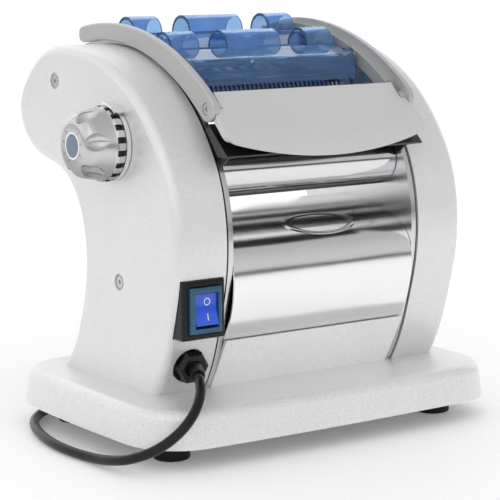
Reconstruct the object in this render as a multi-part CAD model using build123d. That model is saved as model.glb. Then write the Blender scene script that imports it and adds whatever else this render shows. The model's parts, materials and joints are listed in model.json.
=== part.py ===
from build123d import *
from math import atan2, cos, degrees, pi, radians, sin, sqrt, tan
import os

# Electric pasta maker: a cast stand with two smooth sheeting rollers, two pairs of
# cutter rollers, a gearmotor under a chrome cover and a hinged finger guard.
# While it is built, X is left to right, Y is front to back, Z is up, the stand is
# centred on X = 0, Y = 0 and the floor is Z = 0. finish_part() then moves every
# piece so that the origin is under the middle of the machine's outer box.

# ---------------------------------------------------------------- stand
base_margin = 28.5          # the stand reaches this far past the housings on each side
base_depth = 220.0
base_bow = 4.0              # how far the long and short sides bulge
base_corner = 42.0
base_bottom = 15.0
base_top = 41.0
base_draft = 8.0            # degrees, walls lean outwards to the bottom
base_edge = 8.0             # rounding of the top edge
base_wall = 4.0
base_plate_thickness = 1.5
foot_inset_x = 37.8         # from the stand's sides to the middle of a foot
foot_inset_y = 44.0
foot_r = 13.2
foot_recess = 2.0           # the foot's shoulder sits this far up in the plate
foot_screw_r = 2.0

# ---------------------------------------------------------------- frame between the rollers
machine_x = 5.3             # the machine sits a little to the right on its stand
inner_half = 79.7           # half of the clear width between the side plates
plate_thickness = 4.0
gasket_thickness = 1.8
plate_inset = 0.8
gasket_inset = 2.2
gasket_width = 5.0
rod_r = 4.0
rod_places = [(-50, 58), (28, 58), (18, 133), (118, 236)]
side_gap = 0.3              # sheet pieces end this far from the side plates
past_all = 400.0            # longer than the machine, for cutting shapes

# ---------------------------------------------------------------- side housings
housing_depth = 41.8
housing_edge = 7.0
housing_wall = 3.0
head_back = 140.0
housing_outline = [
    (-50, base_top), (-61, 62), (-71, 93), (-77.6, 120), (-79.8, 146), (-77.3, 171),
    (-69, 197), (-55.5, 219), (-33, 243.5), (-3, 263), (32, 275), (66, 278.6),
    (98, 275), (124, 258), (head_back, 230), (131, 208), (108, 194.5), (80, 187.5),
    (60, 173), (48, 150), (44.5, 124), (48, 98), (56, 74), (66, 55), (84, base_top)]
foot_drop = 20.0            # a drawn-in outline runs this far below before it is cut level
foot_run = 6.0
shoulder_front = [(0, 200), (-60, 199), (-54, 219), (-48.5, 229)]
shoulder_back_z = 240.0
cover_screw_r = 2.2
cover_screw_head_r = 4.0
dish_r = 6.0
dish_depth = 2.4
boss_r = 5.0
left_screws = [(82.5, 252.4), (-5.4, 115.2)]
right_screws = [(104, 220), (5, 110)]

# ---------------------------------------------------------------- guard rails and finger guard
hinge = (-60.176804, 239.763841)  # the pivot of both rails
rail_low_back = (112.0, 277.176610)   # the foot of a rail's rear end
rail_low_r = 190.3          # the arc under the rail, from its front end to that foot
rail_top_middle = (67.5, 82.6)      # middle of the arc along its top
rail_end_r = 9.1            # the rail's round front end, about the hinge
rail_inset = 0.2            # the rails reach this far inside the side plates
rail_width = 9.8
rail_wall = 4.8             # the outer part of the rail's width, which has its full height
rail_ledge = 9.0            # height of the inner ledge that carries the guard
rail_ledge_front = -46.0
rail_end_round = 5.0
rail_edge = 1.0
rail_gap = 0.3
pin_r = 2.5
pin_seat = 2.0              # depth of the pivot screw's seat in the rail
pin_boss = 2.0
running_gap = 0.05

guard_rail_gap = 4.5        # between the guard's side and the rail
guard_wall = 2.2
guard_front_y = -16.0
guard_front_low = 251.5
guard_front_high = 270.5
hump_r = 13.0
row_one = (21.0, 276.0)
row_two = (70.5, 285.3)
guard_back_y = 90.0
guard_back_low = 262.0
guard_side_low = 260.5
slot_half = 10.0
hump_middle_half = 24.0
hump_side_inset = 2.3
hump_side_length = 23.7
lug_r = 4.5
guard_screw_r = 3.0
lug_places_y = [-5.0, 45.5, 87.0]

# ---------------------------------------------------------------- smooth rollers
roller_r = 17.5
roller_front_y = -43.5
roller_z = 194.5
roller_gap_open = 2.0
roller_travel = 1.8
journal_r = 6.0
bush_wall = 3.0
bush_flange = 2.2
bush_flange_r = 11.5
roller_end_gap = 0.4

# ---------------------------------------------------------------- thickness dial
dial_y = 1.2
dial_z = 213.5
dial_shaft_r = 2.6
cam_r = 5.0
cam_width = 2.8
cam_clearance = 0.3
carrier_width = 3.4
carrier_r = 10.5
dial_rim_r = 26.8
dial_ring_depth = 5.7       # the black ring behind the knob
dial_depth = 32.0
dial_cap_r = 8.4
dial_cap_depth = 1.6
dial_rim_depth = 3.8        # length of the knob's notched rim
dial_face_r = 14.5
dial_notches = 18
notch_width = 4.4
notch_depth = 2.0
dial_scoops = 6
scoop_phase = 20.0
scoop_length = 22.2
scoop_r = 6.4
scoop_slope = 25.6          # degrees between the scoops and the dial's axis
scoop_place = (23.8, 25.2)  # middle of a scoop, from the axis and out of the dial's back
dial_back_gap = 0.6
pointer_angle = 109.0       # from the back, over the top, to the front
pointer_sweep = 38.0
pointer_reach = 8.6         # how far the clip stands out of the housing
pointer_gap = 1.2
pointer_sheet = 1.6

# ---------------------------------------------------------------- gears
gear_width = 8.0
gear_module = 1.5
drive_teeth = 22
idler_teeth = 40
pinion_teeth = 18
drive_line_angle = -78.5
roller_gear_teeth = 20
takeoff_teeth = 16
cutter_idler_teeth = 32
cutter_gear_teeth = 16
transfer_teeth = 18
cutter_line_angle = 41.6
transfer_line_angle = 4.0
left_gear_gap = 8.3         # from the left side plate to the drive gears
pair_gear_gap = 4.3         # from the right side plate to the rollers' gears
cutter_gear_gap = 3.0
transfer_gear_gap = 1.5
cutter_gear_width = 7.0
transfer_gear_width = 5.5
idler_pin_r = 2.5

# ---------------------------------------------------------------- cutters
cutter_ring_r = 13.0
cutter_groove_r = 10.6
cutter_journal_r = 4.6
narrow_pitch = 4.0
wide_pitch = 13.0
cutter_side_play = 0.1
cutter_end = 3.7            # plain length at each end of a cutter
comb_thickness = 1.5

# ---------------------------------------------------------------- covers
cover_sheet = 1.2
cover_back_y = 8.0
cover_low = (-64.2, 74.5)
cover_back_z = 162.0
cover_outline = [cover_low, (-70.9, 85), (-77.6, 103), (-79.7, 124), (-75, 140),
                 (-62, 150.4), (-45, 156.8), (-20, 161), (cover_back_y, cover_back_z)]
apron_thickness = 2.5
apron_foot_y = -50.0
apron_top = (-70.0, 77.5)
rear_sheet = 2.0
rear_cover_path = [(cover_back_y - 6, cover_back_z - 2.3), (36, 141), (40, 100), (51, 49),
                   (51, base_top)]
hood_thickness = 2.5
hood_path = [(-54.5, 250.6), (-68.2, 237.6), (-79, 227.6), (-86, 218), (-91, 207), (-92.2, 202.5)]
hood_over = 7.2             # the hood's wide part, past the rails' inner faces
hood_end_z = 218.0
hood_middle_z = 205.5
hood_corner = 7.0
hood_flange = 2.0           # its side edges are turned back
hood_flange_depth = 6.5
hood_gap = 0.5
ear_width = 3.0
bracket_sheet = 1.6
bracket_path = [(-54.5, 247), (-52.5, 236), (-59.4, 226.3), (-80.7, 207.3)]
bracket_inset = 0.2         # the bracket ends this far inside the hood's sides
bracket_side = [(-59.4, 226.3), (-80.7, 207.3), (-69.9, 207.3), (-54.6, 226.3)]
bracket_tab = [(-59.4, 226.3), (-80.7, 207.3), (-72, 205.8), (-62.5, 198), (-58, 208.3),
               (-50, 216), (-45, 226.3)]
bracket_top_z = 229.0       # its ends stop here, under the rails
rear_hood_path = [(104, 278), (122, 266), (134, 248), (137, 226)]

# ---------------------------------------------------------------- gearmotor
motor_r = 29.0
motor_length = 92.0
gear_case = 54.0
gear_case_length = 20.0
motor_shaft_r = 5.0
saddle_width = 24.0
saddle_depth = 36.0
saddle_top = 8.0            # the saddle ends this far under the motor's axis

# ---------------------------------------------------------------- switch
switch_inset = 1.1          # from the middle of the left housing's width towards the rollers
switch_z = 104.6
surround_width = 35.0
surround_height = 41.5
surround_front = -81.5
surround_edge = 3.0
bezel_width = 25.6
bezel_height = 32.0
bezel_proud = 3.5
rocker_width = 18.2
rocker_height = 23.6
rocker_clearance = 0.4
rocker_pin_r = 1.5
rocker_pin_length = 1.6     # into the bezel's sides
rocker_set_back = 4.0       # the rocker's axis behind the surround's face
rocker_rest_tilt = 7.0

# ---------------------------------------------------------------- cord
gland_z = 62.0
gland_seat_y = -57.5
gland_seat_r = 12.6
gland_neck_r = 6.8
gland_front_y = -70.0
gland_across = 21.0
cord_d = 7.0
relief_length = 22.0
cord_points = [
    (-100.2, -70.0, 61.2), (-110.5, -91.5, 59.2), (-119.9, -106.0, 51.2),
    (-131.3, -113.0, 39.6), (-144.3, -112.0, 28.0), (-156.7, -103.6, 18.0),
    (-166.0, -88.0, 10.8), (-169.2, -69.2, 6.6), (-170.0, -50.0, 4.0),
    (-173.0, -27.5, 3.6), (-173.6, -3.6, 3.7), (-169.8, 21.3, 3.6),
    (-163.2, 44.9, 3.7), (-153.8, 66.4, 3.6), (-139.6, 84.0, 3.6),
    (-120.0, 96.8, 3.7), (-96.5, 106.0, 3.6), (-70.6, 112.6, 3.6),
    (-43.0, 116.9, 3.7), (-14.0, 118.6, 3.6)]
coil_outer_r = 49.0
coil_inner_r = 28.0
coil_height = 13.4
plug_length = 36.0
plug_nose = 8.0
plug_width = 35.0
plug_thickness = 14.0
plug_pin_r = 2.0
plug_pin_length = 19.0
plug_pin_spacing = 19.0

# ---------------------------------------------------------------- derived places
plate_outer = inner_half + plate_thickness
housing_inner = plate_outer + gasket_thickness
housing_outer = housing_inner + housing_depth
cavity_outer = housing_outer - housing_wall
base_width = 2 * (housing_outer + base_margin)
foot_x = base_width / 2 - foot_inset_x
foot_y = base_depth / 2 - foot_inset_y
rail_half = inner_half - rail_inset
rail_outer = rail_half + rail_width
guard_half = rail_half - guard_rail_gap
hump_side_to = guard_half - hump_side_inset
hump_side_from = hump_side_to - hump_side_length
hood_half = rail_half + hood_over
bracket_half = hood_half - bracket_inset
left_gear_x = plate_outer + left_gear_gap
pair_gear_x = plate_outer + pair_gear_gap
cutter_gear_x = pair_gear_x + gear_width + cutter_gear_gap
transfer_gear_x = cutter_gear_x + cutter_gear_width + transfer_gear_gap
cutter_half = inner_half - cutter_end
switch_x = machine_x - (housing_inner + housing_depth / 2 - switch_inset)
gland_x = switch_x
roller_rear_y = roller_front_y + 2 * roller_r + roller_gap_open
pair_closest = 2 * roller_r + roller_gap_open - roller_travel
pair_module = pair_closest / roller_gear_teeth
cam_throw = roller_travel / 2


def pitch_r(teeth):
    """Pitch radius of a gear of the common module."""
    return gear_module * teeth / 2


def along(place, distance, angle):
    """The (Y, Z) place at a distance and angle from another."""
    return (place[0] + distance * cos(radians(angle)),
            place[1] + distance * sin(radians(angle)))



def arc_middle(first, from_first, second, from_second):
    """The place under two others at a distance from each."""
    run_y = second[0] - first[0]
    run_z = second[1] - first[1]
    span = sqrt(run_y ** 2 + run_z ** 2)
    ahead = (from_first ** 2 - from_second ** 2 + span ** 2) / (2 * span)
    below = sqrt(from_first ** 2 - ahead ** 2)
    return (first[0] + (ahead * run_y + below * run_z) / span,
            first[1] + (ahead * run_z - below * run_y) / span)


rail_low_middle = arc_middle(hinge, rail_low_r + rail_end_r, rail_low_back, rail_low_r)
hinge_angle = degrees(atan2(hinge[1] - rail_low_middle[1], hinge[0] - rail_low_middle[0]))
rail_back_y = rail_low_back[0]
rail_top_r = rail_end_r + sqrt((hinge[0] - rail_top_middle[0]) ** 2 + (hinge[1] - rail_top_middle[1]) ** 2)
front_axis = (roller_front_y, roller_z)
rear_axis = (roller_rear_y, roller_z)
dial_axis = (dial_y, dial_z)
idler_axis = along(front_axis, pitch_r(drive_teeth + idler_teeth), drive_line_angle)
motor_axis = along(idler_axis, pitch_r(idler_teeth + pinion_teeth), drive_line_angle)
cutter_idler_axis = along(front_axis, pitch_r(takeoff_teeth + cutter_idler_teeth), cutter_line_angle)
narrow_front_axis = along(cutter_idler_axis, pitch_r(cutter_idler_teeth + cutter_gear_teeth),
                          cutter_line_angle)
narrow_rear_axis = along(narrow_front_axis, 2 * pitch_r(cutter_gear_teeth), 0)
transfer_axis = along(narrow_front_axis, pitch_r(cutter_gear_teeth + transfer_teeth),
                      transfer_line_angle)
wide_front_axis = along(transfer_axis, pitch_r(cutter_gear_teeth + transfer_teeth),
                        transfer_line_angle)
wide_rear_axis = along(wide_front_axis, 2 * pitch_r(cutter_gear_teeth), 0)
cutter_axes = [narrow_front_axis, narrow_rear_axis, wide_front_axis, wide_rear_axis]


# ================================================================ drawing helpers
def slab(outline, x_from, x_to):
    """A flat (Y, Z) outline given thickness between two X places from the machine's middle."""
    low = min(x_from, x_to)
    high = max(x_from, x_to)
    return Pos(machine_x + low, 0, 0) * extrude(Plane.YZ * outline, high - low)


def disc(place, radius, x_from, x_to):
    """A round bar along X."""
    return slab(Pos(*place) * Circle(radius), x_from, x_to)


def block(y_from, y_to, z_from, z_to, x_from, x_to):
    """A box between two places on each axis, X from the machine's middle."""
    size = Rectangle(y_to - y_from, z_to - z_from)
    return slab(Pos((y_from + y_to) / 2, (z_from + z_to) / 2) * size, x_from, x_to)


def closed_face(curve, *corners):
    """The face between a curve and the straight lines through some corners back to its start."""
    points = [curve @ 1, *corners, curve @ 0]
    return make_face([curve, Polyline(*points)])


def drawn_in(curve, distance):
    """A smooth curve beside another, at a distance on its right."""
    steps = 24
    points = []
    for step in range(steps + 1):
        at = curve @ (step / steps)
        way = curve % (step / steps)
        points.append((at.X + way.Y * distance, at.Y - way.X * distance))
    return Spline(*points)


def bent_face(curve, thickness):
    """A curved sheet's section, with the thickness on the curve's right."""
    inner = drawn_in(curve, thickness)
    return make_face([curve, inner, Line(curve @ 0, inner @ 0), Line(curve @ 1, inner @ 1)])


def sheet_face(path, thickness):
    """A bent sheet's section: a path of straight runs with the thickness on its right."""
    outer = Polyline(*path)
    inner = outer.offset_2d(thickness, kind=Kind.INTERSECTION, side=Side.RIGHT, closed=False)
    ends = [Line(outer @ 0, nearest_end(inner, outer @ 0)),
            Line(outer @ 1, nearest_end(inner, outer @ 1))]
    return make_face([*outer.edges(), *inner.edges(), *ends])


def nearest_end(wire, point):
    """Whichever end of a wire is nearer a point."""
    return min((wire @ 0, wire @ 1), key=lambda end: (end - point).length)


def housing_face(inset, floor=0):
    """The kidney outline of the sides, drawn in by a distance and level at its foot."""
    curve = Spline(*housing_outline)
    if inset == 0:
        return closed_face(curve)
    inner = drawn_in(curve, inset)
    low = base_top - foot_drop
    face = closed_face(inner, (inner @ 1 + (inner % 1) * foot_run), (housing_outline[-1][0], low),
                       (housing_outline[0][0], low), (inner @ 0 - (inner % 0) * foot_run))
    level = base_top + floor
    return face & (Pos(0, level + past_all / 2) * Rectangle(past_all, past_all))


# ================================================================ gears
def gear_face(teeth, module, phase, bore):
    """A spur gear's outline with slim straight-sided teeth; phase is one tooth's angle."""
    radius = module * teeth / 2
    pitch_angle = 2 * pi / teeth
    tip_r = radius + 0.85 * module
    root_r = radius - 1.15 * module
    tip_half = 0.09 * pitch_angle
    root_half = 0.27 * pitch_angle
    corners = []
    for tooth in range(teeth):
        middle = radians(phase) + tooth * pitch_angle
        for turn, reach in ((-root_half, root_r), (-tip_half, tip_r),
                            (tip_half, tip_r), (root_half, root_r)):
            corners.append((reach * cos(middle + turn), reach * sin(middle + turn)))
    return make_face(Polyline(*corners, close=True)) - Circle(bore)


def meshing_phase(place, teeth, phase, other, other_teeth):
    """The tooth angle that puts another gear in mesh with this one."""
    line = degrees(atan2(other[1] - place[1], other[0] - place[0]))
    ahead = (line - phase) * teeth / 360
    return line + 180 - (0.5 - ahead) * 360 / other_teeth


def gear(place, teeth, phase, bore, x_from, width, module=gear_module):
    """A spur gear on an axis along X."""
    return slab(Pos(*place) * gear_face(teeth, module, phase, bore), x_from, x_from + width)


# ================================================================ stand
def base_outline(inset):
    """The stand's bowed, round-cornered plan."""
    x = base_width / 2 - base_bow - inset
    y = base_depth / 2 - base_bow - inset
    bow = base_bow
    sides = [ThreePointArc((-x, -y), (0, -y - bow), (x, -y)),
             ThreePointArc((x, -y), (x + bow, 0), (x, y)),
             ThreePointArc((x, y), (0, y + bow), (-x, y)),
             ThreePointArc((-x, y), (-x - bow, 0), (-x, -y))]
    face = make_face(sides)
    return fillet(face.vertices(), base_corner - inset)


def make_base_shell():
    height = base_top - base_bottom
    outer = extrude(base_outline(0), height, taper=base_draft)
    outer = fillet(outer.faces().sort_by(Axis.Z)[-1].edges(), base_edge)
    inner = extrude(base_outline(base_wall), height - base_wall, taper=base_draft)
    shell = Pos(0, 0, base_bottom) * (outer - inner)
    for x, y in foot_centres():
        boss = Pos(x, y, (base_bottom + base_plate_thickness + base_top - 1) / 2) * Cylinder(
            foot_r - 4, base_top - 1 - base_bottom - base_plate_thickness)
        shell += boss
    for x, y in foot_centres():
        shell -= Pos(x, y, base_bottom + 10) * Cylinder(foot_screw_r, 20)
    return shell


def foot_centres():
    return [(x, y) for x in (-foot_x, foot_x) for y in (-foot_y, foot_y)]


def make_base_plate():
    plate = extrude(base_outline(base_wall + 0.3), base_plate_thickness)
    for x, y in foot_centres():
        plate -= Pos(x, y, 0) * Cylinder(foot_screw_r, 4 * base_plate_thickness)
    return Pos(0, 0, base_bottom) * plate


def make_feet():
    feet = []
    for x, y in foot_centres():
        foot = Pos(x, y, base_bottom / 2) * Cylinder(foot_r, base_bottom)
        foot = fillet(foot.faces().sort_by(Axis.Z)[0].edges(), 2)
        foot -= Pos(x, y, base_bottom / 2) * Cylinder(foot_screw_r, base_bottom + 2)
        foot -= Pos(x, y, 2) * Cylinder(2 * foot_screw_r + 1, 4)
        feet.append(foot)
    return feet


def make_foot_screws():
    screws = []
    for x, y in foot_centres():
        shank = Pos(x, y, (4 + base_bottom + 20) / 2) * Cylinder(foot_screw_r, base_bottom + 16)
        head = Pos(x, y, 3) * Cylinder(2 * foot_screw_r, 2)
        screws.append(shank + head)
    return screws


# ================================================================ side plates and housings
def shoulder_face():
    """The strip of side plate that rises under a guard rail."""
    rise = Pos(*rail_low_middle) * Circle(rail_low_r - rail_gap)
    top = rail_low_middle[1] + rail_low_r
    front_y = shoulder_front[-1][0]
    bounds = make_face(Polyline(*shoulder_front, (front_y, top), (rail_back_y, top),
                                (rail_back_y, shoulder_back_z), close=True))
    return rise & bounds


def plate_face():
    return housing_face(plate_inset) + shoulder_face()


def make_side_plate(side):
    face = plate_face()
    plate = slab(face, side * inner_half, side * plate_outer)
    holes = [(front_axis, journal_r + bush_wall), (dial_axis, dial_shaft_r + running_gap)]
    holes += [(place, cutter_journal_r + bush_wall) for place in cutter_axes]
    if side < 0:
        holes.append((motor_axis, motor_shaft_r + 1))
    for place, radius in holes:
        plate -= disc(place, radius, side * (inner_half - 1), side * (plate_outer + 1))
    slide_middle = (roller_rear_y - roller_travel / 2, roller_z)
    slide = SlotCenterToCenter(roller_travel, 2 * (journal_r + 0.4))
    plate -= slab(Pos(*slide_middle) * slide, side * (inner_half - 1), side * (plate_outer + 1))
    return plate


def make_gaskets():
    ring = housing_face(gasket_inset) - housing_face(gasket_inset + gasket_width)
    return [slab(ring, side * plate_outer, side * housing_inner) for side in (-1, 1)]


def housing_shell(side):
    """A cast shell, open towards the side plate, with one large rounded outer edge."""
    outer = slab(housing_face(0), side * housing_inner, side * housing_outer)
    outer = round_outer_rim(outer, side, housing_edge)
    inner = slab(housing_face(housing_wall, housing_wall), side * housing_inner, side * cavity_outer)
    inner = round_outer_rim(inner, side, housing_edge - housing_wall)
    return outer - inner


def round_outer_rim(solid, side, radius):
    face = solid.faces().sort_by(Axis.X)[0 if side < 0 else -1]
    bottom = face.edges().filter_by(Axis.Y).sort_by(Axis.Z)[0]
    rim = [edge for edge in face.edges() if edge != bottom]
    return fillet(rim, radius)


def make_housing(side, screws):
    shell = housing_shell(side)
    for place in screws:
        shell += disc(place, boss_r, side * housing_inner, side * (cavity_outer + 0.5))
    for place in screws:
        shell -= disc(place, cover_screw_r, side * (housing_inner - 1), side * housing_outer)
        shell -= disc(place, dish_r, side * (housing_outer - dish_depth), side * (housing_outer + 1))
    return shell


def make_left_housing():
    shell = make_housing(-1, left_screws)
    boss = gland_bar(gland_seat_r + 3, gland_seat_y - 2, gland_seat_y + 7)
    shell += boss & slab(housing_face(0), -housing_inner, -housing_outer)
    shell -= gland_bar(gland_seat_r, gland_front_y - 5, gland_seat_y)
    shell -= gland_bar(gland_neck_r + 0.2, gland_front_y - 5, gland_seat_y + 10)
    shell -= disc(dial_axis, dial_shaft_r + 0.4, -housing_inner, -housing_outer - 1)
    hole = surround_box(0.2)
    shell -= hole
    return shell


def make_housing_screws():
    screws = []
    for side, places in ((-1, left_screws), (1, right_screws)):
        for place in places:
            floor = housing_outer - dish_depth
            shank = disc(place, cover_screw_r, side * plate_outer, side * floor)
            head = disc(place, cover_screw_head_r, side * floor, side * (floor + 1.8))
            socket = slab(Pos(*place) * RegularPolygon(2.0, 6), side * (floor + 0.6), side * (floor + 3))
            screws.append(shank + head - socket)
    return screws


def make_tie_rods():
    return [disc(place, rod_r, -inner_half, inner_half) for place in rod_places]


# ================================================================ guard
def on_arc(middle, radius, y):
    """The place on an arc's upper side at a Y."""
    return (y, middle[1] + sqrt(radius ** 2 - (y - middle[0]) ** 2))


def rail_face():
    """An arched, tapering band with a round front end about the hinge and a soft rear end."""
    top_angle = degrees(atan2(hinge[1] - rail_top_middle[1], hinge[0] - rail_top_middle[0]))
    low_front = along(rail_low_middle, rail_low_r, hinge_angle)
    top_front = along(rail_top_middle, rail_top_r, top_angle)
    tip = along(hinge, rail_end_r, (hinge_angle + 180 + top_angle) / 2)
    low_back = on_arc(rail_low_middle, rail_low_r, rail_back_y)
    top_back = on_arc(rail_top_middle, rail_top_r, rail_back_y)
    face = make_face([
        ThreePointArc(low_front, tip, top_front),
        ThreePointArc(top_front, on_arc(rail_top_middle, rail_top_r, 0), top_back),
        Line(top_back, low_back),
        ThreePointArc(low_back, on_arc(rail_low_middle, rail_low_r, 0), low_front)])
    rear = [v for v in face.vertices() if abs(v.X - rail_back_y) < 0.01]
    return fillet(rear, rail_end_round)


def ledge_face():
    """The lower inner part of the rail, which starts behind the hood."""
    band = Pos(*rail_low_middle) * Circle(rail_low_r + rail_ledge)
    behind = Pos(rail_ledge_front + past_all / 2, rail_low_middle[1] + past_all / 2) * Rectangle(
        past_all, past_all)
    return rail_face() & band & behind


def make_rail(side):
    wall = slab(rail_face(), side * (rail_outer - rail_wall), side * rail_outer)
    outer = wall.faces().sort_by(Axis.X)[0 if side < 0 else -1]
    rail = chamfer(outer.edges(), rail_edge)
    rail += slab(ledge_face(), side * rail_half, side * (rail_outer - rail_wall))
    rail += disc(hinge, pin_r + pin_boss, side * rail_half, side * (rail_outer - rail_wall))
    rail -= disc(hinge, pin_r + running_gap, side * (rail_half - 1), side * (rail_outer + 1))
    rail -= disc(hinge, pin_r + pin_boss, side * (rail_outer - pin_seat), side * (rail_outer + 1))
    return rail


def make_pivot_screws():
    """Shoulder screws that the rails turn on, fixed in the hood's ears."""
    screws = []
    for side in (-1, 1):
        seat = rail_outer - pin_seat
        pin = disc(hinge, pin_r, side * (rail_half - hood_gap - ear_width), side * (seat + 0.1))
        head = disc(hinge, pin_r + 1.6, side * (seat + 0.1), side * (seat + 1.6))
        cross = RectangleRounded(4.6, 1.1, 0.3) + RectangleRounded(1.1, 4.6, 0.3)
        recess = slab(Pos(*hinge) * cross, side * (seat + 0.7), side * (seat + 3))
        screws.append(pin + head - recess)
    return screws


def guard_profile():
    """The guard's outer section without its humps."""
    y1, z1 = row_one
    y2, z2 = row_two
    return [(guard_front_y, guard_front_low), (guard_front_y, guard_front_high),
            (y1 - hump_r, z1), (y1 + hump_r, z1), (y2 - hump_r, z2), (y2 + hump_r, z2),
            (guard_back_y, z2 - 6), (guard_back_y, guard_back_low)]


def make_finger_guard():
    outer = make_face(Polyline(*guard_profile(), close=True))
    inner = offset(outer, -guard_wall, kind=Kind.INTERSECTION)
    under = guard_side_low - past_all / 2
    low = make_face(Polyline((guard_front_y + guard_wall, under),
                             (guard_front_y + guard_wall, guard_front_high - 8),
                             (guard_back_y - guard_wall, guard_back_low + 8),
                             (guard_back_y - guard_wall, under), close=True))
    body = slab(outer, -guard_half, guard_half)
    hollow = slab(inner + low, -guard_half + guard_wall, guard_half - guard_wall)
    body -= hollow
    body -= block(guard_front_y + guard_wall, guard_back_y + 1, under, guard_side_low,
                  -guard_half - 1, guard_half + 1)
    for place in (row_one, row_two):
        body -= block(place[0] - slot_half, place[0] + slot_half, place[1] - 6, place[1] + 1,
                      -hump_side_to, hump_side_to)
        for low_x, high_x in hump_spans():
            body += hump(place, low_x, high_x)
    for side in (-1, 1):
        for y in lug_places_y:
            foot = Pos(y, rail_middle(y)[1] - lug_r) * Rectangle(2 * lug_r, 2 * lug_r)
            tab = Pos(*rail_middle(y)) * Circle(lug_r) + foot
            body += slab(tab, side * (guard_half - guard_wall), side * rail_half)
            body -= disc(rail_middle(y), guard_screw_r + 0.2, side * (guard_half - guard_wall - 4),
                         side * (guard_half - guard_wall))
    return body


def hump_spans():
    return [(-hump_side_to, -hump_side_from), (-hump_middle_half, hump_middle_half),
            (hump_side_from, hump_side_to)]


def hump(place, x_from, x_to):
    """Half a tube, open at both ends, that bridges the feed slot."""
    ring = Circle(hump_r) - Circle(hump_r - guard_wall)
    upper = ring & (Pos(0, hump_r / 2) * Rectangle(2 * hump_r + 2, hump_r))
    return slab(Pos(*place) * upper, x_from, x_to)


def rail_middle(y):
    """The place on the middle of the rail's ledge at a Y."""
    return on_arc(rail_low_middle, rail_low_r + rail_ledge / 2, y)


def make_guard_screws():
    screws = []
    for side in (-1, 1):
        for y in lug_places_y:
            place = rail_middle(y)
            screws.append(disc(place, guard_screw_r, side * (guard_half - guard_wall - 1.4),
                               side * (guard_half - guard_wall)))
    return screws


# ================================================================ rollers
def roller_bar(place, radius, left_to, right_to, journal, body_half):
    bar = disc(place, radius, -body_half, body_half)
    bar = chamfer(bar.edges(), 0.6)
    return bar + disc(place, journal, left_to, right_to)


def make_front_roller():
    return roller_bar(front_axis, roller_r, -left_gear_x - gear_width - 2,
                      cutter_gear_x + cutter_gear_width + 2, journal_r, inner_half - roller_end_gap)


def make_rear_roller():
    return roller_bar(rear_axis, roller_r, -carrier_outer() - 1, pair_gear_x + gear_width + 1.5,
                      journal_r, inner_half - roller_end_gap)


def carrier_outer():
    return plate_outer + 0.3 + carrier_width


def make_roller_bushes():
    bushes = []
    for side in (-1, 1):
        sleeve = disc(front_axis, journal_r + bush_wall, side * inner_half, side * plate_outer)
        flange = disc(front_axis, bush_flange_r, side * plate_outer, side * (plate_outer + bush_flange))
        hole = disc(front_axis, journal_r + running_gap, side * (inner_half - 1), side * (plate_outer + 5))
        bushes.append(sleeve + flange - hole)
    return bushes


def cam_axis():
    return (dial_y + cam_throw, dial_z)


def make_carriers():
    """Two links that hold the rear roller's journals and are pushed by the dial's cams."""
    carriers = []
    for side in (-1, 1):
        ends = [Pos(*rear_axis) * Circle(carrier_r), Pos(*cam_axis()) * Circle(carrier_r)]
        link = make_hull(ends[0].edges() + ends[1].edges())
        slot_width = 2 * (cam_r + cam_clearance)
        slot = Pos(*cam_axis()) * SlotCenterToCenter(2 * cam_throw + 0.8, slot_width, rotation=90)
        link = link - slot - Pos(*rear_axis) * Circle(journal_r + running_gap)
        carriers.append(slab(link, side * (plate_outer + 0.3), side * carrier_outer()))
    return carriers


def make_scrapers():
    """Wiper strips under the smooth rollers, tight between the side plates."""
    strips = []
    for place, way in ((front_axis, -1), (rear_axis, 1)):
        y = place[0] - way * 6.0
        reach = roller_z - sqrt((roller_r + 0.3 + 1.8) ** 2 - 36.0)
        strips.append(block(y - 3, y + 3, reach - 1.5, reach, -inner_half, inner_half))
    return strips


# ================================================================ dial
def dial_face_x():
    return housing_outer + dial_back_gap


def make_adjuster_shaft():
    shaft = disc(dial_axis, dial_shaft_r, -(dial_face_x() + dial_depth - 6), carrier_outer() + 0.2)
    for side in (-1, 1):
        middle = plate_outer + 0.3 + carrier_width / 2
        shaft += disc(cam_axis(), cam_r, side * (middle - cam_width / 2), side * (middle + cam_width / 2))
    return shaft


def make_dial_knob():
    """The gripping dome: turned section, six finger scoops and a notched rim."""
    depth = dial_depth
    rim = dial_rim_r
    rim_front = dial_ring_depth + dial_rim_depth
    section = [(0, dial_ring_depth), (rim, dial_ring_depth), (rim, rim_front),
               (rim - 1.1, rim_front + 1.4), (rim - 1.9, depth - 17), (rim - 2.8, depth - 12),
               (rim - 3.6, depth - 7.5), (rim - 4.9, depth - 4.1), (rim - 7.2, depth - 1.9),
               (rim - 9.6, depth - 0.7), (dial_face_r, depth), (0, depth)]
    corners = [(-machine_side(x), r) for r, x in section]
    dome = revolve(Plane.XZ * make_face(Polyline(*corners, close=True)), Axis.X)
    dome = Pos(0, dial_y, dial_z) * dome
    for scoop in range(dial_scoops):
        dome -= scoop_tool(180 + scoop_phase + scoop * 360 / dial_scoops)
    for notch in range(dial_notches):
        angle = (notch + 0.5) * 360 / dial_notches
        place = along(dial_axis, rim, angle)
        tooth = Pos(*place) * Rot(0, 0, angle) * Rectangle(2 * notch_depth, notch_width)
        dome -= slab(tooth, -(dial_face_x() + dial_ring_depth - 1), -(dial_face_x() + rim_front + 0.9))
    dome -= disc(dial_axis, dial_cap_r, -(dial_face_x() + depth - dial_cap_depth), -(dial_face_x() + depth + 1))
    dome -= disc(dial_axis, dial_shaft_r, -dial_face_x(), -(dial_face_x() + depth - 6))
    return dome


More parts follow.
